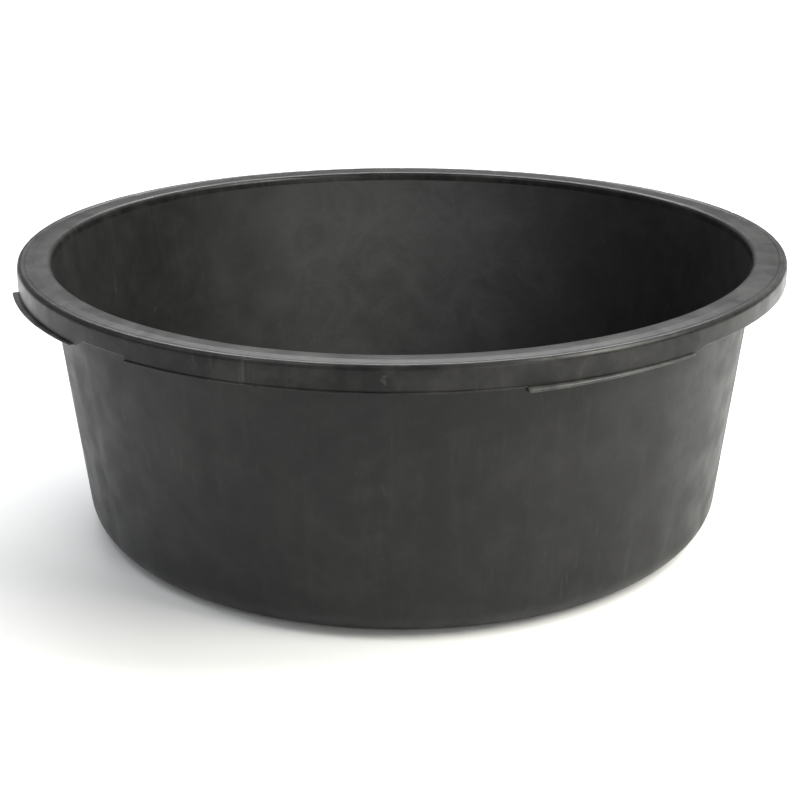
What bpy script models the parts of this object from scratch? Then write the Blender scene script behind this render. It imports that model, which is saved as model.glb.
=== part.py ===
"""Round mortar mixing tub, moulded in one piece from black polyethylene.

The moulding is drawn as its separate regions, each a closed solid: the floor, the rounded heel,
the leaning wall, the flat rim with its raised bead, the down-turned skirt, the radial ribs under
the rim, and the two kinds of lip on the skirt's lower edge. A split line of GAP lies between them.
"""

import math

import bmesh
import bpy

# Driving dimensions, in metres. The tub stands on Z = 0 and its axis is Z.
RIM_RADIUS = 0.335
HEIGHT = 0.245
THICKNESS = 0.0035
BASE_RADIUS = 0.284
WALL_LEAN = math.radians(6.1)
HEEL_RADIUS = 0.031
FLOOR_INSET = 0.020
GAP = 0.0003

# Rim: a flat ledge that ends in a shallow groove and a raised round bead.
WALL_TOP = HEIGHT - 0.0085
CREST_RADIUS = 0.0055
LEDGE_DROP = 0.0004
GROOVE_DROP = 0.0012
GROOVE_FLAT = 0.0012
GROOVE_WIDTH = 0.0035
BEAD_RADIUS = 0.0044
UNDER_FILLET = 0.0015
SKIRT_TOP = HEIGHT - 0.0060

# Skirt: its lower edge hangs lowest at the grip lips, less low along the edge lips, and is shallow elsewhere.
SKIRT_FLARE = math.radians(1.0)
SKIRT_GRIP = 0.0240
SKIRT_EDGE = 0.0210
SKIRT_SHALLOW = 0.0172
SKIRT_EASE = 3.0
SKIRT_ROUND = 0.0008

# Lips, in degrees, on the front half of the rim. The back half is the same pattern after a half turn.
HALF_TURN = 180.0
HALVES = 2
EDGE_LIP_FROM = -127.5
EDGE_LIP_TO = -75.0
# Each grip lip: where it starts, where it ends, the skirt's drop at its end and its own reach there.
GRIP_LIPS = ((-164.5, -138.8, 0.0236, 0.0025), (-75.0, -50.0, 0.0213, 0.0016))
EDGE_LIP_OUT = 0.0012
EDGE_LIP_HEIGHT = 0.0016
GRIP_LIP_OUT = 0.0050
GRIP_LIP_HEIGHT = 0.0032
LIP_SPLIT = 0.1
LIP_ROUND_OF_HEIGHT = 0.3
LIP_ROUND_OF_OUT = 0.45

# Ribs that stiffen the channel under the rim.
RIBS = 20
RIB_THICKNESS = 0.0025
RIB_DEPTH = 0.0130
RIB_CLEARANCE = 0.0006
RIB_CORNER_WIDTH = 0.0035
RIB_CORNER_DROP = 0.0022
RIB_OUTER_SHARE = 0.6
RIB_BELLY = 0.0020

TURN_STEPS = 72
HEEL_STEPS = 5
BEAD_STEPS = 8
CREST_STEPS = 3
SWEEP_STEP = 2.5
TURN_MERGE = 0.00001
SHARP_ANGLE = math.radians(35)

BLACK = (0.022, 0.022, 0.023, 1.0)
WORN_BLACK = (0.032, 0.032, 0.033, 1.0)


def clear_scene():
    """Remove every object of the scene."""
    for obj in list(bpy.data.objects):
        bpy.data.objects.remove(obj, do_unlink=True)


def new_collection(name):
    """Make a collection under the scene's own."""
    collection = bpy.data.collections.new(name)
    bpy.context.scene.collection.children.link(collection)
    return collection


def plastic(name, colour, roughness):
    """Make a polyethylene material with one colour and one roughness."""
    material = bpy.data.materials.new(name)
    material.use_nodes = True
    shader = material.node_tree.nodes["Principled BSDF"]
    shader.inputs["Base Color"].default_value = colour
    shader.inputs["Roughness"].default_value = roughness
    shader.inputs["Metallic"].default_value = 0.0
    return material


def wall_outer(z):
    """Radius of the wall's outer face at height z."""
    return BASE_RADIUS + z * math.tan(WALL_LEAN)


def wall_inner(z):
    """Radius of the wall's inner face at height z."""
    return wall_outer(z) - THICKNESS / math.cos(WALL_LEAN)


def arc(centre, radius, start, end, steps):
    """Points of an arc in the (radius, height) plane, with angles in degrees."""
    points = []
    for i in range(steps + 1):
        angle = math.radians(start + (end - start) * i / steps)
        points.append((centre[0] + radius * math.cos(angle), centre[1] + radius * math.sin(angle)))
    return points


def turned(name, profile, closed, material):
    """Turn a profile of (radius, height) points about Z; it runs down its outer side."""
    mesh = bpy.data.meshes.new(name)
    verts = [(r, 0.0, z) for r, z in profile]
    edges = [(i, i + 1) for i in range(len(verts) - 1)]
    if closed:
        edges.append((len(verts) - 1, 0))
    mesh.from_pydata(verts, edges, [])
    obj = bpy.data.objects.new(name, mesh)
    parts.objects.link(obj)
    screw = obj.modifiers.new("turn", "SCREW")
    screw.steps = TURN_STEPS
    screw.render_steps = TURN_STEPS
    screw.use_merge_vertices = True
    screw.merge_threshold = TURN_MERGE
    screw.use_smooth_shade = True
    obj.data.materials.append(material)
    return obj


def sweep_angles(start, end):
    """Angles in degrees from start to end, spaced evenly by about SWEEP_STEP."""
    steps = max(1, round((end - start) / SWEEP_STEP))
    return [start + (end - start) * i / steps for i in range(steps + 1)]


def swept(name, sections, ring, material):
    """Join sections, each (angle in degrees, loop of (radius, height)), into one closed body."""
    bm = bmesh.new()
    loops = []
    for angle, section in sections:
        turn = math.radians(angle)
        loops.append([bm.verts.new((r * math.cos(turn), r * math.sin(turn), z)) for r, z in section])
    count = len(loops[0])
    pairs = list(zip(loops, loops[1:]))
    if ring:
        pairs.append((loops[-1], loops[0]))
    for first, second in pairs:
        for i in range(count):
            j = (i + 1) % count
            bm.faces.new((first[i], first[j], second[j], second[i]))
    if not ring:
        bm.faces.new(loops[0])
        bm.faces.new(list(reversed(loops[-1])))
    bmesh.ops.recalc_face_normals(bm, faces=bm.faces)
    mesh = bpy.data.meshes.new(name)
    bm.to_mesh(mesh)
    bm.free()
    mesh.shade_smooth()
    mesh.set_sharp_from_angle(angle=SHARP_ANGLE)
    obj = bpy.data.objects.new(name, mesh)
    parts.objects.link(obj)
    obj.data.materials.append(material)
    return obj


def folded(angle, start, pitch):
    """Fold an angle in degrees into the stretch of one pitch that begins at start."""
    return start + (angle - start) % pitch


def ease(value):
    """Smooth step from 0 to 1."""
    value = min(1.0, max(0.0, value))
    return value * value * (3.0 - 2.0 * value)


def grip_lip(angle):
    """The grip lip at an angle in degrees, or the last one before it."""
    return max(lip for lip in GRIP_LIPS if lip[0] <= angle)


def along(angle, start, end):
    """How far an angle lies between start and end: 0 at the start, 1 at the end and beyond."""
    return min(1.0, (angle - start) / (end - start))


def skirt_bottom(angle):
    """Height of the skirt's lower edge at an angle in degrees."""
    angle = folded(angle, GRIP_LIPS[0][0], HALF_TURN)
    if EDGE_LIP_FROM <= angle < EDGE_LIP_TO:
        return HEIGHT - SKIRT_EDGE
    start, end, end_drop, _ = grip_lip(angle)
    drop = SKIRT_GRIP + (end_drop - SKIRT_GRIP) * along(angle, start, end)
    drop += (SKIRT_SHALLOW - end_drop) * ease((angle - end) / SKIRT_EASE)
    return HEIGHT - drop


def skirt_outer(z):
    """Radius of the skirt's outer face at height z."""
    return RIM_RADIUS + (SKIRT_TOP - z) * math.tan(SKIRT_FLARE)


def heel_centre():
    """Centre of the heel's arcs in the (radius, height) plane."""
    inset = HEEL_RADIUS * (1.0 - math.sin(WALL_LEAN)) / math.cos(WALL_LEAN)
    return BASE_RADIUS - inset, HEEL_RADIUS


def build_floor(material):
    """A flat round floor inside the heel."""
    edge = heel_centre()[0] - FLOOR_INSET
    profile = [(0.0, THICKNESS), (edge, THICKNESS), (edge, 0.0), (0.0, 0.0)]
    turned("floor_panel", profile, False, material)


def build_heel(material):
    """The rounded corner between floor and wall, with a flat foot of its own."""
    centre = heel_centre()
    inner = centre[0] - FLOOR_INSET + GAP
    lean = math.degrees(WALL_LEAN)
    profile = arc(centre, HEEL_RADIUS, -lean, -90.0, HEEL_STEPS)
    profile.append((inner, 0.0))
    profile.append((inner, THICKNESS))
    profile += arc(centre, HEEL_RADIUS - THICKNESS, -90.0, -lean, HEEL_STEPS)
    turned("heel_ring", profile, True, material)


def build_wall(material):
    """The leaning wall, from the heel up to the rim's crest."""
    centre = heel_centre()
    normal = (math.cos(WALL_LEAN), -math.sin(WALL_LEAN))
    along = (math.sin(WALL_LEAN), math.cos(WALL_LEAN))

    def foot(radius):
        return (
            centre[0] + radius * normal[0] + GAP * along[0],
            centre[1] + radius * normal[1] + GAP * along[1],
        )

    profile = [(wall_inner(WALL_TOP), WALL_TOP), (wall_outer(WALL_TOP), WALL_TOP)]
    profile += [foot(HEEL_RADIUS), foot(HEEL_RADIUS - THICKNESS)]
    turned("tub_wall", profile, True, material)


def bead_centre():
    """Centre of the bead's round in the (radius, height) plane."""
    return RIM_RADIUS - BEAD_RADIUS, HEIGHT - BEAD_RADIUS


def bead_root():
    """Angle in degrees, on the bead's inner flank, of the groove's floor."""
    return 180.0 - math.degrees(math.asin((BEAD_RADIUS - GROOVE_DROP) / BEAD_RADIUS))


def bead_point(angle):
    """Point of the bead's round at an angle in degrees."""
    centre = bead_centre()
    turn = math.radians(angle)
    return centre[0] + BEAD_RADIUS * math.cos(turn), centre[1] + BEAD_RADIUS * math.sin(turn)


def build_rim_ledge(material):
    """The flat top of the rim: rounded crest inside, groove outside."""
    low = WALL_TOP + GAP
    ledge = HEIGHT - LEDGE_DROP
    under = ledge - THICKNESS
    crest = (wall_inner(ledge - CREST_RADIUS) + CREST_RADIUS, ledge - CREST_RADIUS)
    root = bead_point(bead_root())
    end = root[0] - GAP
    profile = [(wall_inner(low), low)]
    profile += arc(crest, CREST_RADIUS, 180.0, 90.0, CREST_STEPS)
    profile += [(end - GROOVE_WIDTH, ledge), (end - GROOVE_FLAT, root[1]), (end, root[1])]
    profile += [(end, under), (wall_outer(under) + UNDER_FILLET, under)]
    profile += [(wall_outer(under - UNDER_FILLET), under - UNDER_FILLET), (wall_outer(low), low)]
    turned("rim_ledge", profile, True, material)


def build_rim_bead(material):
    """The raised round bead on the rim's outer edge."""
    under = HEIGHT - LEDGE_DROP - THICKNESS
    profile = arc(bead_centre(), BEAD_RADIUS, bead_root(), 0.0, BEAD_STEPS)
    low = SKIRT_TOP + GAP
    inner = profile[0][0]
    profile += [(RIM_RADIUS, low), (RIM_RADIUS - THICKNESS, low), (inner, under)]
    turned("rim_bead", profile, True, material)


def build_rim_skirt(material):
    """The skirt that hangs from the bead, with its deep and shallow stretches."""
    starts = [EDGE_LIP_FROM] + [lip[0] for lip in GRIP_LIPS]
    angles = sweep_angles(0.0, 360.0)[:-1]
    angles += [(start - LIP_SPLIT + HALF_TURN * i) % 360.0 for start in starts for i in range(HALVES)]
    sections = []
    for angle in sorted(angles):
        low = skirt_bottom(angle)
        outer = skirt_outer(low)
        sections.append(
            (
                angle,
                [
                    (RIM_RADIUS - THICKNESS, SKIRT_TOP),
                    (RIM_RADIUS, SKIRT_TOP),
                    (outer, low + SKIRT_ROUND),
                    (outer - SKIRT_ROUND, low),
                    (outer - THICKNESS, low),
                ],
            )
        )
    swept("rim_skirt", sections, True, material)


def lip_section(low, out, height):
    """A lip's section: a flat ledge with a rounded outer edge, on the skirt's lower edge at height low."""
    inner = skirt_outer(low) + GAP
    outer = inner + out
    round_off = min(LIP_ROUND_OF_HEIGHT * height, LIP_ROUND_OF_OUT * out)
    return [
        (inner, low + height),
        (outer - round_off, low + height),
        (outer, low + height - round_off),
        (outer, low + round_off),
        (outer - round_off, low),
        (inner, low),
    ]


def build_edge_lips(material):
    """The narrow lip that runs along the skirt up to a grip lip, on each half of the rim."""
    for half in range(HALVES):
        turn = half * HALF_TURN
        angles = sweep_angles(EDGE_LIP_FROM + turn, EDGE_LIP_TO - LIP_SPLIT + turn)
        section = lip_section(HEIGHT - SKIRT_EDGE, EDGE_LIP_OUT, EDGE_LIP_HEIGHT)
        swept(f"edge_lip_{half + 1}", [(angle, section) for angle in angles], False, material)


def build_grip_lips(material):
    """The wide lips for the fingers: each starts square and grows thinner towards its other end."""
    number = 0
    for half in range(HALVES):
        for start, end, _, end_out in GRIP_LIPS:
            number += 1
            sections = []
            for angle in sweep_angles(start, end):
                share = along(angle, start, end)
                out = GRIP_LIP_OUT + (end_out - GRIP_LIP_OUT) * share
                height = GRIP_LIP_HEIGHT + (EDGE_LIP_HEIGHT - GRIP_LIP_HEIGHT) * share
                section = lip_section(skirt_bottom(angle), out, height)
                sections.append((angle + half * HALF_TURN, section))
            swept(f"grip_lip_{number}", sections, False, material)


def build_ribs(material):
    """Thin radial ribs in the channel between the wall and the skirt."""
    top = HEIGHT - LEDGE_DROP - THICKNESS - RIB_CLEARANCE
    low = top - RIB_DEPTH
    inner_top = wall_outer(top) + RIB_CLEARANCE + UNDER_FILLET
    inner_low = wall_outer(low) + RIB_CLEARANCE
    outer = RIM_RADIUS - THICKNESS - RIB_CLEARANCE
    mid = 0.5 * (inner_low + outer)
    outline = [(inner_top, top), (outer - RIB_CORNER_WIDTH, top), (outer, top - RIB_CORNER_DROP)]
    outline += [(outer, top - RIB_OUTER_SHARE * RIB_DEPTH), (mid, low + RIB_BELLY), (inner_low, low)]
    curve = bpy.data.curves.new("rim_rib", "CURVE")
    curve.dimensions = "2D"
    curve.fill_mode = "BOTH"
    curve.extrude = 0.5 * RIB_THICKNESS
    spline = curve.splines.new("POLY")
    spline.points.add(len(outline) - 1)
    for point, (r, z) in zip(spline.points, outline):
        point.co = (r, z, 0.0, 1.0)
    spline.use_cyclic_u = True
    curve.materials.append(material)
    for i in range(RIBS):
        rib = bpy.data.objects.new(f"rim_rib_{i + 1:02d}", curve)
        rib.rotation_euler = (math.radians(90.0), 0.0, math.radians(360.0 / RIBS * i))
        parts.objects.link(rib)


clear_scene()
parts = new_collection("mortar_mixing_tub")
body_plastic = plastic("tub_polyethylene", BLACK, 0.5)
rim_plastic = plastic("rim_polyethylene", WORN_BLACK, 0.42)
build_floor(body_plastic)
build_heel(body_plastic)
build_wall(body_plastic)
build_rim_ledge(rim_plastic)
build_rim_bead(rim_plastic)
build_rim_skirt(rim_plastic)
build_edge_lips(rim_plastic)
build_grip_lips(rim_plastic)
build_ribs(rim_plastic)
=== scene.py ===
"""Finished look of the round mortar mixing tub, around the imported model.

The tub is one black polyethylene moulding. Each region of it is a finely turned shell here: floor,
heel, wall, ledge, bead, skirt, lips and ribs. Neighbours meet on straight stretches of the section,
so no seam shows. Lengths are in metres, angles in degrees where a name says so.
"""

import math

import bpy
from mathutils import Matrix, Vector, noise


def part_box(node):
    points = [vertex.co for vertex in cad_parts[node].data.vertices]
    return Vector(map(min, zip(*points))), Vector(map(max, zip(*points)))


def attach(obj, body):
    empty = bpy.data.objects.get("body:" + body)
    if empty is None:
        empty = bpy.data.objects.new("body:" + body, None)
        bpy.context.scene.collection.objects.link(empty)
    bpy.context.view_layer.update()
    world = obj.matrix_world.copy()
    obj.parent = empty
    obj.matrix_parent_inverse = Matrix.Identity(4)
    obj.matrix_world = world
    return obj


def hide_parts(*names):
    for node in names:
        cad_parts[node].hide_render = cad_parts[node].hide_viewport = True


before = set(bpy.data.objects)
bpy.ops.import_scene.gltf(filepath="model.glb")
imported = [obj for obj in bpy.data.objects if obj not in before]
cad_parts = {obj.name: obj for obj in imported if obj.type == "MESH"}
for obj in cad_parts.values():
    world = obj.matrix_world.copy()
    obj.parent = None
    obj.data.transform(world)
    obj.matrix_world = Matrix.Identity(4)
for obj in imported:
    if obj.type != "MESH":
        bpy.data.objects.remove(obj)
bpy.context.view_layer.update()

# The section's driving sizes, from the frame.
RIM_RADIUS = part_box("rim_bead")[1].x
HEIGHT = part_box("rim_bead")[1].z
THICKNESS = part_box("floor_panel")[1].z
FLOOR_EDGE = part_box("floor_panel")[1].x
WALL_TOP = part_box("tub_wall")[1].z
WALL_LEAN = math.radians(6.1)
BASE_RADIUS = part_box("tub_wall")[1].x - WALL_TOP * math.tan(WALL_LEAN)
HEEL_RADIUS = 0.031
HEEL_TOP = 0.034

CREST_RADIUS = 0.0055
LEDGE_DROP = 0.0004
GROOVE_DROP = 0.0010
GROOVE_WIDTH = 0.0065
GROOVE_FLAT = 0.0014
GROOVE_ROUND = 0.0034
BEAD_RADIUS = 0.0044
UNDER_FILLET = 0.0020
BEAD_FROM = 132.0

SKIRT_FLARE = math.radians(1.0)
SKIRT_TOP = HEIGHT - 0.0085
SKIRT_GRIP = 0.0240
SKIRT_EDGE = 0.0210
SKIRT_SHALLOW = 0.0172
SKIRT_EASE = 3.0
SKIRT_ROUND = 0.0009
# The outer face is divided evenly down to this far above its lower edge.
SKIRT_HEM = 0.0020
# Half the angle, in radians, over which the lower edge steps down at the start of a lip.
STEP_SLOPE = 0.0002

# Lips, in degrees, on the front half of the rim. The back half is the same pattern after a half turn.
HALF_TURN = 180.0
HALVES = 2
EDGE_LIP_FROM = -127.5
EDGE_LIP_TO = -75.0
EDGE_LIP_OUT = 0.0012
EDGE_LIP_HEIGHT = 0.0016
# Each grip lip: where it starts, where it ends, the skirt's drop at its end and its own reach there.
GRIP_LIPS = ((-164.5, -138.8, 0.0236, 0.0025), (-75.0, -50.0, 0.0213, 0.0016))
GRIP_LIP_OUT = 0.0050
GRIP_LIP_HEIGHT = 0.0032
LIP_SINK = 0.0003
LIP_END_BEVEL = 0.10
LIP_END_SHARE = 0.8
LIP_ROUND_SHARE = 0.46
LIP_STEP = 0.5

RIBS = 20
RIB_THICKNESS = 0.0025
RIB_DEPTH = 0.0130
RIB_OUTER_SHARE = 0.55
RIB_ROUND = 0.0060

# The rim of a large soft tub is never quite flat: it rises at the sides and dips at front and back.
SADDLE = 0.0022
SADDLE_TURN = math.radians(-7.0)
SADDLE_GROWTH = 1.6
RIM_TILT = 0.0005
WAVINESS = 0.00022
WAVE_SCALE = 9.0
RIPPLE_SCALE = 3.0 * WAVE_SCALE
RIPPLE_SHIFT = 7.0
RIPPLE_STRETCH = 0.3
SINK_DEPTH = 0.00022
SINK_WIDTH = 0.0030
SINK_FROM = SKIRT_TOP - 0.0120
SINK_FADE = 0.0060

# How finely each shape is divided.
RING_STEPS = 480
FLOOR_RINGS = 40
HEEL_STEPS = 20
WALL_STEPS = 44
CREST_STEPS = 10
BEAD_STEPS = 22
SKIRT_ROWS = 6
FILLET_STEPS = 5
EDGE_STEPS = 4
SHARP_ANGLE = math.radians(40)
CORNER_REACH = 0.49

CAMERA_ELEVATION = math.radians(19.16)
CAMERA_ROLL = math.radians(-0.2)
CAMERA_DISTANCE = 4.2 * RIM_RADIUS
CAMERA_AIM = (-0.0020, 0.0, 0.5 * HEIGHT)
CAMERA_SENSOR = 36.0
CAMERA_LENS = 68.9
CAMERA_SHIFT = -0.0365
CAMERA_NEAR = 0.05
CAMERA_FAR = 50.0

# Each light on the tub: name, place, size, power and colour.
LIGHTS = (
    ("key_right", (1.75, -0.85, 1.75), (1.2, 1.2), 63.0, (1.0, 0.99, 0.90)),
    ("fill_left", (-2.0, -0.6, 1.6), (1.2, 1.2), 7.5, (0.90, 0.95, 1.0)),
    ("fill_front", (1.2, -2.2, 0.8), (0.9, 1.2), 16.5, (1.0, 0.99, 0.95)),
    ("top_back", (0.0, 1.6, 1.9), (2.0, 1.2), 28.5, (1.0, 1.0, 1.0)),
    ("edge_back", (1.8, 1.6, 1.2), (1.2, 1.2), 4.5, (1.0, 1.0, 0.97)),
    ("top_right", (1.2, -0.25, 1.9), (0.5, 0.5), 21.0, (1.0, 1.0, 0.96)),
    ("top_left", (-0.9, -0.7, 2.0), (0.5, 0.5), 7.5, (0.95, 0.98, 1.0)),
)
WORLD_STRENGTH = 0.33
BACKDROP_LIGHT = ("backdrop", (0.0, 5.2, 5.4), (7.0, 3.0), 560.0, (1.0, 1.0, 1.0))
BACKDROP_AIM = (0.0, 5.2, 0.0)
STAGE_SIZE = 8.0
STAGE_COLOUR = (0.90, 0.90, 0.90, 1.0)
STAGE_ROUGHNESS = 0.9
STAGE_SPECULAR = 0.1

# Colours under and in the haze, for the body, the rim and the grip lips. The grip lips' paler colours are a
# painted highlight along their tops.
BODY_DARK = (0.0130, 0.0130, 0.0137, 1.0)
BODY_PALE = (0.030, 0.0295, 0.0285, 1.0)
RIM_DARK = (0.0060, 0.0060, 0.0064, 1.0)
RIM_PALE = (0.042, 0.041, 0.039, 1.0)
LIP_HIGHLIGHT_DARK = (0.030, 0.030, 0.030, 1.0)
LIP_HIGHLIGHT_PALE = (0.120, 0.118, 0.112, 1.0)
# Lower than the real plastic reflects, because the lights are strong enough for a white floor.
SPECULAR = 0.20

# Streaks, haze, roughness and the amount of the pale patch at the back, of each skin.
BODY_SKIN = (0.35, 0.35, 0.46, 1.0)
RIM_SKIN = (0.20, 0.36, 0.33, 0.0)
LIP_HIGHLIGHT_SKIN = (0.20, 0.50, 0.33, 0.0)

# A paler colour round one place at the back, fading out with distance and broken up by noise. It reaches
# both faces of the wall and part of the floor.
PALE_PATCH_CENTRE = (0.015, 0.290, 0.110)
PALE_PATCH_NEAR = 0.06
PALE_PATCH_FAR = 0.30
PALE_PATCH_COLOUR = (0.060, 0.060, 0.062, 1.0)

# Noise layers: stretch of the coordinate, scale, detail, roughness, distortion, and the band that is kept.
PLAIN = (1.0, 1.0, 1.0)
CLOUD = (PLAIN, 14.0, 5.0, 0.62, 0.4, 0.40, 0.72)
STREAK = ((1.0, 1.0, 0.07), 70.0, 4.0, 0.65, 0.0, 0.52, 0.80)
SWIRL = ((1.0, 1.0, 3.0), 26.0, 6.0, 0.70, 2.2, 0.55, 0.85)
FLECK = (PLAIN, 420.0, 2.0, 0.50, 0.0, 0.70, 0.80)
MOTTLE = (PLAIN, 60.0, 5.0, 0.60, 0.6, 0.42, 0.70)
SCRATCH = ((1.0, 1.0, 0.035), 210.0, 3.0, 0.60, 0.0, 0.60, 0.72)
SCRATCHED_PLACES = (PLAIN, 9.0, 3.0, 0.50, 0.0, 0.46, 0.62)
SCUFF = ((1.0, 1.0, 0.45), 120.0, 2.0, 0.50, 0.8, 0.72, 0.78)
PALE_PATCH_CLOUD = (PLAIN, 22.0, 7.0, 0.68, 0.8, 0.25, 0.75)
PALE_PATCH_STREAKS = ((1.0, 1.0, 2.2), 75.0, 5.0, 0.70, 1.6, 0.30, 0.70)
GLOSS_PATCH = (PLAIN, 33.0, 4.0, 0.50, 0.0, 0.30, 0.70)

# How much of each layer goes into the pale share or into the pale patch at the back.
SWIRL_OF_HAZE = 0.5
MOTTLE_OF_HAZE = 0.6
SCRATCH_SHARE = 0.55
SCUFF_SHARE = 0.8
FLECK_SHARE = 0.35
PALE_PATCH_CLOUD_LEAST = 0.55
PALE_PATCH_STREAKS_LEAST = 0.85
GLOSS_BELOW = 0.05
GLOSS_ABOVE = 0.07
STREAK_GLOSS = -0.05

# Bumps, from coarse to fine: stretch, scale and detail of the noise, then strength and depth.
BUMPS = (
    (PLAIN, 160.0, 3.0, 0.35, 0.00025),
    ((1.0, 1.0, 0.12), 420.0, 2.0, 0.12, 0.00015),
    (PLAIN, 1400.0, 3.0, 0.25, 0.00008),
)


def ease(value):
    """Smooth step from 0 to 1."""
    value = min(1.0, max(0.0, value))
    return value * value * (3.0 - 2.0 * value)


def wall_outer(z):
    """Radius of the wall's outer face at height z."""
    return BASE_RADIUS + z * math.tan(WALL_LEAN)


def wall_inner(z):
    """Radius of the wall's inner face at height z."""
    return wall_outer(z) - THICKNESS / math.cos(WALL_LEAN)


def grip_lip(angle):
    """The grip lip at an angle in degrees, or the last one before it."""
    return max(lip for lip in GRIP_LIPS if lip[0] <= angle)


def along(angle, start, end):
    """How far an angle lies between start and end: 0 at the start, 1 at the end and beyond."""
    return min(1.0, (angle - start) / (end - start))


def skirt_bottom(angle):
    """Height of the skirt's lower edge at an angle in degrees."""
    first = GRIP_LIPS[0][0]
    angle = first + (angle - first) % HALF_TURN
    if EDGE_LIP_FROM <= angle < EDGE_LIP_TO:
        return HEIGHT - SKIRT_EDGE
    start, end, end_drop, _ = grip_lip(angle)
    drop = SKIRT_GRIP + (end_drop - SKIRT_GRIP) * along(angle, start, end)
    drop += (SKIRT_SHALLOW - end_drop) * ease((angle - end) / SKIRT_EASE)
    return HEIGHT - drop


def bead_centre():
    """Centre of the bead's round in the (radius, height) plane."""
    return RIM_RADIUS - BEAD_RADIUS, HEIGHT - BEAD_RADIUS


def skirt_outer(z):
    """Radius of the skirt's outer face, which leaves the bead's round without a crease."""
    centre = bead_centre()
    start = centre[0] + BEAD_RADIUS * math.cos(SKIRT_FLARE)
    height = centre[1] + BEAD_RADIUS * math.sin(SKIRT_FLARE)
    return start + (height - z) * math.tan(SKIRT_FLARE)


def arc(centre, radius, start, end, steps):
    """Points of an arc in the (radius, height) plane, with angles in degrees."""
    points = []
    for i in range(steps + 1):
        turn = math.radians(start + (end - start) * i / steps)
        points.append((centre[0] + radius * math.cos(turn), centre[1] + radius * math.sin(turn)))
    return points


def line(start, end, steps):
    """Points along a straight line, both ends included."""
    return [
        (start[0] + (end[0] - start[0]) * i / steps, start[1] + (end[1] - start[1]) * i / steps)
        for i in range(steps + 1)
    ]


def corner(before, point, after, radius, steps):
    """A rounded corner at point, between the points before and after it."""
    here = Vector(point)
    back = (Vector(before) - here)
    ahead = (Vector(after) - here)
    reach = CORNER_REACH * min(back.length, ahead.length)
    back.normalize()
    ahead.normalize()
    half = 0.5 * math.acos(max(-1.0, min(1.0, back.dot(ahead))))
    tangent = min(radius / math.tan(half), reach)
    centre = here + (back + ahead).normalized() * (tangent / math.cos(half))
    first = here + back * tangent - centre
    last = here + ahead * tangent - centre
    start = math.atan2(first.y, first.x)
    sweep = (math.atan2(last.y, last.x) - start + math.pi) % (2.0 * math.pi) - math.pi
    size = first.length
    return [
        (
            centre.x + size * math.cos(start + sweep * i / steps),
            centre.y + size * math.sin(start + sweep * i / steps),
        )
        for i in range(steps + 1)
    ]


def rib_share(angle):
    """1 over a rib, falling to 0 between ribs; angle in radians."""
    pitch = 2.0 * math.pi / RIBS
    off = (angle + 0.5 * pitch) % pitch - 0.5 * pitch
    return math.exp(-((off * RIM_RADIUS / SINK_WIDTH) ** 2))


def placed(r, z, angle):
    """A point of the section at an angle in radians, with the moulding's saddle, waves and sink marks."""
    share = max(0.0, z / HEIGHT) ** SADDLE_GROWTH
    x = r * math.cos(angle)
    y = r * math.sin(angle)
    wave = noise.noise(Vector((x, y, z)) * WAVE_SCALE)
    ripple = noise.noise(Vector((x, y, RIPPLE_STRETCH * z + RIPPLE_SHIFT)) * RIPPLE_SCALE)
    out = WAVINESS * (wave + ripple) * ease(z / HEEL_RADIUS)
    lift = SADDLE * math.cos(2.0 * (angle - SADDLE_TURN)) + RIM_TILT * math.sin(angle) + WAVINESS * wave
    lift *= share
    if r > wall_inner(HEIGHT) + CREST_RADIUS and z > SINK_FROM:
        sink = SINK_DEPTH * rib_share(angle)
        lift -= sink * ease((z - SKIRT_TOP) / SINK_FADE)
        out -= sink
    r += out
    return r * math.cos(angle), r * math.sin(angle), z + lift


def new_piece(name, verts, faces, material, nodes):
    """A mesh object that rides on the tub and stands for its CAD nodes."""
    mesh = bpy.data.meshes.new(name)
    mesh.from_pydata(verts, [], faces)
    mesh.shade_smooth()
    mesh.set_sharp_from_angle(angle=SHARP_ANGLE)
    obj = bpy.data.objects.new(name, mesh)
    bpy.context.scene.collection.objects.link(obj)
    mesh.materials.append(material)
    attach(obj, "root")
    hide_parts(*nodes)
    return obj


def lofted(sections, ring):
    """Vertices and faces through sections of (angle in radians, closed loop).

    A loop runs down the outer side and up the inner one.
    """
    verts = []
    for angle, loop in sections:
        verts += [placed(r, z, angle) for r, z in loop]
    count = len(sections[0][1])
    pairs = [(i, i + 1) for i in range(len(sections) - 1)]
    if ring:
        pairs.append((len(sections) - 1, 0))
    faces = []
    for a, b in pairs:
        for i in range(count):
            j = (i + 1) % count
            faces.append((a * count + i, a * count + j, b * count + j, b * count + i))
    if not ring:
        last = (len(sections) - 1) * count
        faces.append(tuple(range(count - 1, -1, -1)))
        faces.append(tuple(last + i for i in range(count)))
    return verts, faces


def ring_angles():
    """The angles, in radians, of every full ring."""
    return [2.0 * math.pi * i / RING_STEPS for i in range(RING_STEPS)]


def turned(name, loop, material, nodes):
    """A full ring with the same section all round."""
    verts, faces = lofted([(angle, loop) for angle in ring_angles()], True)
    return new_piece(name, verts, faces, material, nodes)


def heel_centre():
    """Centre of the heel's arcs in the (radius, height) plane."""
    return BASE_RADIUS - HEEL_RADIUS * (1.0 - math.sin(WALL_LEAN)) / math.cos(WALL_LEAN), HEEL_RADIUS


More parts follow.
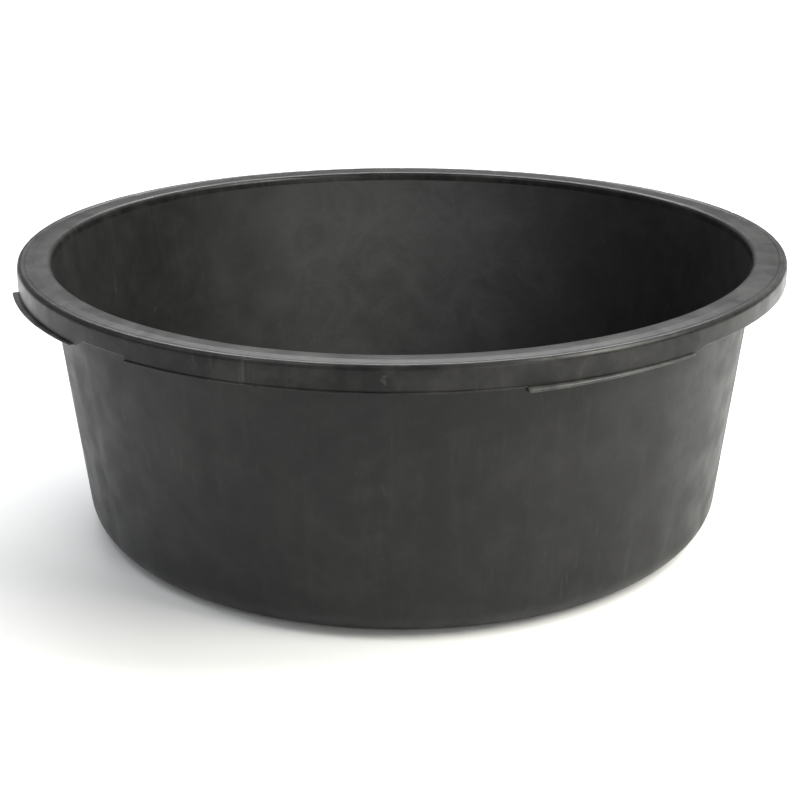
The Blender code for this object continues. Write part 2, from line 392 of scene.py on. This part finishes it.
def make_floor(material):
    """The flat floor: a disc from the centre to the heel, with its upper and lower faces."""
    radii = [FLOOR_EDGE * i / FLOOR_RINGS for i in range(1, FLOOR_RINGS + 1)]
    loop = [(r, THICKNESS) for r in radii] + [(r, 0.0) for r in reversed(radii)]
    verts = []
    for angle in ring_angles():
        verts += [placed(r, z, angle) for r, z in loop]
    count = len(loop)
    faces = []
    for a in range(RING_STEPS):
        b = (a + 1) % RING_STEPS
        for i in range(count - 1):
            faces.append((a * count + i, a * count + i + 1, b * count + i + 1, b * count + i))
    top = len(verts)
    verts += [(0.0, 0.0, THICKNESS), (0.0, 0.0, 0.0)]
    for a in range(RING_STEPS):
        b = (a + 1) % RING_STEPS
        faces.append((top, a * count, b * count))
        faces.append((top + 1, b * count + count - 1, a * count + count - 1))
    new_piece("floor_shell", verts, faces, material, ["floor_panel"])


def make_heel(material):
    """The rounded corner between floor and wall, with a short stretch of each."""
    centre = heel_centre()
    lean = math.degrees(WALL_LEAN)
    loop = [(wall_inner(HEEL_TOP), HEEL_TOP), (wall_outer(HEEL_TOP), HEEL_TOP)]
    loop += arc(centre, HEEL_RADIUS, -lean, -90.0, HEEL_STEPS)
    loop += line((FLOOR_EDGE, 0.0), (FLOOR_EDGE, THICKNESS), 1)
    loop += arc(centre, HEEL_RADIUS - THICKNESS, -90.0, -lean, HEEL_STEPS)
    turned("heel_shell", loop, material, ["heel_ring"])


def make_wall(material):
    """The leaning wall, from the heel up to the crest."""
    loop = line((wall_outer(WALL_TOP), WALL_TOP), (wall_outer(HEEL_TOP), HEEL_TOP), WALL_STEPS)
    loop += line((wall_inner(HEEL_TOP), HEEL_TOP), (wall_inner(WALL_TOP), WALL_TOP), WALL_STEPS)
    turned("wall_shell", loop, material, ["tub_wall"])


def groove_point():
    """Where the ledge and the bead meet, on the groove's flat bottom."""
    centre = bead_centre()
    height = HEIGHT - GROOVE_DROP
    inner = centre[0] - math.sqrt(BEAD_RADIUS**2 - (height - centre[1]) ** 2)
    return inner - 0.5 * GROOVE_FLAT, height


def make_ledge(material):
    """The rim's flat top, with its round crest inside and its groove outside."""
    top = HEIGHT - LEDGE_DROP
    under = top - THICKNESS
    groove = groove_point()
    slope_end = (groove[0] - 0.5 * GROOVE_FLAT, groove[1])
    slope_start = (slope_end[0] - GROOVE_WIDTH, top)
    foot = (wall_inner(WALL_TOP), WALL_TOP)
    crest = (wall_inner(top), top)
    loop = [foot]
    loop += corner(foot, crest, slope_start, CREST_RADIUS, CREST_STEPS)
    loop += corner(crest, slope_start, slope_end, 2.0 * GROOVE_ROUND, EDGE_STEPS)
    loop += corner(slope_start, slope_end, groove, GROOVE_ROUND, EDGE_STEPS)
    loop += [groove, (groove[0], under)]
    foot_out = (wall_outer(WALL_TOP), WALL_TOP)
    loop += corner((groove[0], under), (wall_outer(under), under), foot_out, UNDER_FILLET, FILLET_STEPS)
    loop.append(foot_out)
    turned("ledge_shell", loop, material, ["rim_ledge"])


def make_bead(material):
    """The raised round bead, down to a little below its shoulder."""
    centre = bead_centre()
    groove = groove_point()
    under = HEIGHT - LEDGE_DROP - THICKNESS
    root = (groove[0] + 0.5 * GROOVE_FLAT, groove[1])
    flank = arc(centre, BEAD_RADIUS, BEAD_FROM, math.degrees(SKIRT_FLARE), BEAD_STEPS)
    loop = [groove]
    loop += corner(groove, root, flank[0], GROOVE_ROUND, EDGE_STEPS)
    loop += flank
    loop += [(skirt_outer(SKIRT_TOP), SKIRT_TOP), (skirt_outer(SKIRT_TOP) - THICKNESS, SKIRT_TOP)]
    inner = (skirt_outer(under) - THICKNESS, under)
    loop += corner(loop[-1], inner, (groove[0], under), UNDER_FILLET, FILLET_STEPS)
    loop.append((groove[0], under))
    turned("bead_shell", loop, material, ["rim_bead"])


def skirt_angles():
    """The ring's angles, with two more on both sides of each step in the lower edge."""
    starts = [math.radians(EDGE_LIP_FROM)] + [math.radians(lip[0]) for lip in GRIP_LIPS]
    steps = [start + half * math.pi for start in starts for half in range(HALVES)]
    before = [(step - STEP_SLOPE) % (2.0 * math.pi) for step in steps]
    after = [(step + STEP_SLOPE) % (2.0 * math.pi) for step in steps]
    return sorted(ring_angles() + before + after)


def make_skirt(material):
    """The skirt below the bead, with its deep and shallow stretches."""
    sections = []
    for angle in skirt_angles():
        low = skirt_bottom(math.degrees(angle))
        outer = (skirt_outer(low), low)
        inner = (skirt_outer(low) - THICKNESS, low)
        outer_top = (skirt_outer(SKIRT_TOP), SKIRT_TOP)
        inner_top = (outer_top[0] - THICKNESS, SKIRT_TOP)
        loop = line(outer_top, (skirt_outer(low + SKIRT_HEM), low + SKIRT_HEM), SKIRT_ROWS)
        loop += corner(outer_top, outer, inner, SKIRT_ROUND, EDGE_STEPS)
        loop += corner(outer, inner, inner_top, SKIRT_ROUND, EDGE_STEPS - 1)
        loop.append(inner_top)
        sections.append((angle, loop))
    verts, faces = lofted(sections, True)
    new_piece("skirt_shell", verts, faces, material, ["rim_skirt"])


def lip_loop(low, out, height):
    """A lip's section: a ledge on the skirt's lower edge at height low, round along its outer edge."""
    inner = skirt_outer(low) - LIP_SINK
    outer = skirt_outer(low) + out
    points = [(inner, low + height), (outer, low + height), (outer, low), (inner, low)]
    radius = LIP_ROUND_SHARE * min(height, out)
    loop = [points[0]]
    loop += corner(points[0], points[1], points[2], radius, FILLET_STEPS)
    loop += corner(points[1], points[2], points[3], radius, EDGE_STEPS)
    loop.append(points[3])
    return loop


def shrunk(loop, share):
    """A section drawn in towards its middle, for the bevel at a lip's end."""
    r = sum(point[0] for point in loop) / len(loop)
    z = sum(point[1] for point in loop) / len(loop)
    return [(r + (a - r) * share, z + (b - z) * share) for a, b in loop]


def lip_angles(start, end):
    """Angles in degrees along a lip, closer together at its ends."""
    steps = round((end - start) / LIP_STEP)
    middle = [start + (end - start) * i / steps for i in range(steps + 1)]
    return [middle[0], middle[0] + LIP_END_BEVEL, *middle[1:-1], middle[-1] - LIP_END_BEVEL, middle[-1]]


def make_lip(kind, number, start, end, section, turn, material):
    """One lip from start to end in degrees; section gives its loop at an angle."""
    sections = []
    angles = lip_angles(start, end)
    for angle in angles:
        loop = section(angle)
        if angle in (angles[0], angles[-1]):
            loop = shrunk(loop, LIP_END_SHARE)
        sections.append((math.radians(angle + turn), loop))
    verts, faces = lofted(sections, False)
    new_piece(f"{kind}_shell_{number}", verts, faces, material, [f"{kind}_{number}"])


def edge_section(angle):
    """An edge lip's loop: the same at every angle."""
    return lip_loop(HEIGHT - SKIRT_EDGE, EDGE_LIP_OUT, EDGE_LIP_HEIGHT)


def grip_section(angle):
    """A grip lip's loop at an angle in degrees: it grows thinner towards the lip's end."""
    start, end, _, end_out = grip_lip(angle)
    share = along(angle, start, end)
    out = GRIP_LIP_OUT + (end_out - GRIP_LIP_OUT) * share
    height = GRIP_LIP_HEIGHT + (EDGE_LIP_HEIGHT - GRIP_LIP_HEIGHT) * share
    return lip_loop(skirt_bottom(angle), out, height)


def make_lips(material, lip_highlight):
    """The two narrow edge lips, and the four wide grip lips in a paler skin, a painted highlight along
    them.
    """
    number = 0
    for half in range(HALVES):
        turn = half * HALF_TURN
        make_lip("edge_lip", half + 1, EDGE_LIP_FROM, EDGE_LIP_TO, edge_section, turn, material)
        for lip in GRIP_LIPS:
            number += 1
            make_lip("grip_lip", number, lip[0], lip[1], grip_section, turn, lip_highlight)


def make_ribs(material):
    """Thin radial plates in the channel under the rim."""
    top = HEIGHT - LEDGE_DROP - THICKNESS + LIP_SINK
    low = top - RIB_DEPTH
    outer = skirt_outer(top) - THICKNESS + LIP_SINK
    mid = 0.5 * (wall_outer(low) + outer)
    outer_end = (outer, top - RIB_OUTER_SHARE * RIB_DEPTH)
    outline = [(wall_outer(top) - LIP_SINK, top), (outer, top), outer_end]
    outline += corner(outer_end, (mid, low), (wall_outer(low), low), RIB_ROUND, FILLET_STEPS)
    outline.append((wall_outer(low) - LIP_SINK, low))
    half = 0.5 * RIB_THICKNESS
    for rib in range(RIBS):
        angle = 2.0 * math.pi * rib / RIBS
        verts = []
        for side in (-half, half):
            for r, z in outline:
                x, y, height = placed(r, z, angle)
                verts.append((x - side * math.sin(angle), y + side * math.cos(angle), height))
        count = len(outline)
        faces = [(i, (i + 1) % count, count + (i + 1) % count, count + i) for i in range(count)]
        faces.append(tuple(range(count - 1, -1, -1)))
        faces.append(tuple(range(count, 2 * count)))
        number = rib + 1
        name = f"rib_plate_{number:02d}"
        new_piece(name, verts, faces, material, [f"rim_rib_{number:02d}"])


# Where a Mix node keeps its colour sockets.
MIX_FIRST = 6
MIX_SECOND = 7
MIX_RESULT = 2


class Graph:
    """A short way to add nodes to a material and to join them."""

    def __init__(self, material):
        material.use_nodes = True
        self.tree = material.node_tree
        self.shader = self.tree.nodes["Principled BSDF"]

    def add(self, kind, inputs=(), **settings):
        """Add a node, set its properties, and join or set its inputs."""
        node = self.tree.nodes.new(kind)
        for key, value in settings.items():
            setattr(node, key, value)
        for key, value in dict(inputs).items():
            self.put(node.inputs[key], value)
        return node

    def put(self, socket, value):
        """Join an output to a socket, or set the socket's own value."""
        if isinstance(value, bpy.types.NodeSocket):
            self.tree.links.new(value, socket)
        else:
            socket.default_value = value

    def noise(self, vector, scale, detail, roughness=0.5, distortion=0.0):
        """A noise texture's value."""
        inputs = {"Vector": vector, "Scale": scale, "Detail": detail, "Roughness": roughness}
        inputs["Distortion"] = distortion
        return self.add("ShaderNodeTexNoise", inputs).outputs["Fac"]

    def stretched(self, vector, scale):
        """The coordinate scaled by a different factor along each axis."""
        inputs = {0: vector, 1: scale}
        return self.add("ShaderNodeVectorMath", inputs, operation="MULTIPLY").outputs[0]

    def layer(self, place, recipe, start=0.0, end=1.0):
        """One of the noise layers, mapped from its band to start..end."""
        stretch, scale, detail, roughness, distortion, low, high = recipe
        value = self.noise(self.stretched(place, stretch), scale, detail, roughness, distortion)
        return self.band(value, low, high, start, end)

    def band(self, value, low, high, start=0.0, end=1.0):
        """A value mapped smoothly from low..high to start..end."""
        inputs = {"Value": value, "From Min": low, "From Max": high, "To Min": start, "To Max": end}
        return self.add("ShaderNodeMapRange", inputs, interpolation_type="SMOOTHSTEP").outputs["Result"]

    def math(self, operation, first, second):
        """A sum, product or other operation on two values."""
        return self.add("ShaderNodeMath", {0: first, 1: second}, operation=operation).outputs[0]

    def mix(self, share, first, second):
        """A colour between two colours."""
        node = self.add("ShaderNodeMix", {0: share, MIX_FIRST: first, MIX_SECOND: second}, data_type="RGBA")
        return node.outputs[MIX_RESULT]

    def bump(self, height, strength, distance, normal=None):
        """A bump from a height, on top of another normal."""
        inputs = {"Height": height, "Strength": strength, "Distance": distance}
        if normal is not None:
            inputs["Normal"] = normal
        return self.add("ShaderNodeBump", inputs).outputs["Normal"]


def pale_share(graph, place, streak, streaks, haze):
    """How pale the plastic is at each point, from 0 to 1."""
    scratch = graph.math("MULTIPLY", graph.layer(place, SCRATCH), graph.layer(place, SCRATCHED_PLACES))
    parts = (
        (scratch, SCRATCH_SHARE),
        (graph.layer(place, SCUFF), SCUFF_SHARE),
        (streak, streaks),
        (graph.layer(place, SWIRL), SWIRL_OF_HAZE * haze),
        (graph.layer(place, FLECK), FLECK_SHARE),
        (graph.layer(place, MOTTLE), MOTTLE_OF_HAZE * haze),
    )
    total = graph.math("MULTIPLY", graph.layer(place, CLOUD), haze)
    for layer, share in parts:
        total = graph.math("ADD", total, graph.math("MULTIPLY", layer, share))
    return graph.add("ShaderNodeClamp", {"Value": total}).outputs[0]


def pale_patch_share(graph, place):
    """How far each point lies in the pale patch at the back, from 0 to 1."""
    from_centre = graph.add("ShaderNodeVectorMath", {0: place, 1: PALE_PATCH_CENTRE}, operation="DISTANCE")
    pale_patch = graph.band(from_centre.outputs["Value"], PALE_PATCH_NEAR, PALE_PATCH_FAR, 1.0, 0.0)
    pale_patch = graph.math("MULTIPLY", pale_patch, graph.layer(place, PALE_PATCH_CLOUD, PALE_PATCH_CLOUD_LEAST))
    return graph.math("MULTIPLY", pale_patch, graph.layer(place, PALE_PATCH_STREAKS, PALE_PATCH_STREAKS_LEAST))


def polyethylene(name, dark, pale, streaks, haze, roughness, pale_patch_amount):
    """Black moulded polyethylene with cloudy haze, draw streaks, scuffs, a pale patch at the back and a
    fine skin.

    dark and pale are the colours under and in the haze; streaks, haze and the pale patch's amount are
    shares of 1.
    """
    material = bpy.data.materials.new(name)
    graph = Graph(material)
    place = graph.add("ShaderNodeTexCoord").outputs["Object"]
    streak = graph.layer(place, STREAK)

    colour = graph.mix(pale_share(graph, place, streak, streaks, haze), dark, pale)
    # A paler colour mixed in round one place at the back.
    pale_patch = graph.math("MULTIPLY", pale_patch_share(graph, place), pale_patch_amount)
    graph.put(graph.shader.inputs["Base Color"], graph.mix(pale_patch, colour, PALE_PATCH_COLOUR))

    rough = graph.layer(place, GLOSS_PATCH, roughness - GLOSS_BELOW, roughness + GLOSS_ABOVE)
    rough = graph.math("ADD", rough, graph.math("MULTIPLY", streak, STREAK_GLOSS))
    graph.put(graph.shader.inputs["Roughness"], rough)
    graph.put(graph.shader.inputs["Specular IOR Level"], SPECULAR)

    normal = None
    for stretch, scale, detail, strength, depth in BUMPS:
        height = graph.noise(graph.stretched(place, stretch), scale, detail)
        normal = graph.bump(height, strength, depth, normal)
    graph.put(graph.shader.inputs["Normal"], normal)
    return material


def make_floor_stage():
    """The plain pale floor."""
    mesh = bpy.data.meshes.new("stage_floor")
    size = STAGE_SIZE
    verts = [(-size, -size, 0.0), (size, -size, 0.0), (size, size, 0.0), (-size, size, 0.0)]
    mesh.from_pydata(verts, [], [(0, 1, 2, 3)])
    obj = bpy.data.objects.new("stage_floor", mesh)
    bpy.context.scene.collection.objects.link(obj)
    material = bpy.data.materials.new("stage_paper")
    material.use_nodes = True
    shader = material.node_tree.nodes["Principled BSDF"]
    shader.inputs["Base Color"].default_value = STAGE_COLOUR
    shader.inputs["Roughness"].default_value = STAGE_ROUGHNESS
    shader.inputs["Specular IOR Level"].default_value = STAGE_SPECULAR
    mesh.materials.append(material)


def make_light(name, place, size, power, colour, target):
    """A soft rectangular studio light that points at a target."""
    data = bpy.data.lights.new(name, "AREA")
    data.shape = "RECTANGLE"
    data.size, data.size_y = size
    data.energy = power
    data.color = colour
    obj = bpy.data.objects.new(name, data)
    obj.location = place
    obj.rotation_euler = (Vector(target) - Vector(place)).to_track_quat("-Z", "Y").to_euler()
    bpy.context.scene.collection.objects.link(obj)


def make_lights():
    """Soft boxes round a dim room, the strongest at the upper right, and one over the backdrop."""
    world = bpy.data.worlds.new("studio")
    world.use_nodes = True
    background = world.node_tree.nodes["Background"]
    background.inputs["Color"].default_value = (1.0, 1.0, 1.0, 1.0)
    background.inputs["Strength"].default_value = WORLD_STRENGTH
    bpy.context.scene.world = world
    for light in LIGHTS:
        make_light(*light, (0.0, 0.0, 0.5 * HEIGHT))
    make_light(*BACKDROP_LIGHT, BACKDROP_AIM)


def make_camera():
    """The viewpoint: a little over 19 degrees above the horizon, from about 1.4 metres."""
    data = bpy.data.cameras.new("camera")
    data.sensor_width = CAMERA_SENSOR
    data.lens = CAMERA_LENS
    data.shift_y = CAMERA_SHIFT
    data.clip_start = CAMERA_NEAR
    data.clip_end = CAMERA_FAR
    obj = bpy.data.objects.new("camera", data)
    away = Vector((0.0, -math.cos(CAMERA_ELEVATION), math.sin(CAMERA_ELEVATION)))
    obj.location = Vector(CAMERA_AIM) + CAMERA_DISTANCE * away
    turned_down = Matrix.Rotation(0.5 * math.pi - CAMERA_ELEVATION, 3, "X")
    obj.rotation_euler = (turned_down @ Matrix.Rotation(CAMERA_ROLL, 3, "Z")).to_euler()
    bpy.context.scene.collection.objects.link(obj)
    bpy.context.scene.camera = obj


body_plastic = polyethylene("tub_polyethylene_skin", BODY_DARK, BODY_PALE, *BODY_SKIN)
rim_plastic = polyethylene("rim_polyethylene_skin", RIM_DARK, RIM_PALE, *RIM_SKIN)
# The grip lips' skin is paler: a painted highlight for the bright line along their tops.
lip_highlight_plastic = polyethylene("grip_lip_painted_highlight_skin", LIP_HIGHLIGHT_DARK, LIP_HIGHLIGHT_PALE, *LIP_HIGHLIGHT_SKIN)
make_camera()
make_lights()
make_floor_stage()
make_floor(body_plastic)
make_heel(body_plastic)
make_wall(body_plastic)
make_ledge(rim_plastic)
make_bead(rim_plastic)
make_skirt(rim_plastic)
make_lips(rim_plastic, lip_highlight_plastic)
make_ribs(rim_plastic)
bpy.context.scene.view_settings.view_transform = "Standard"
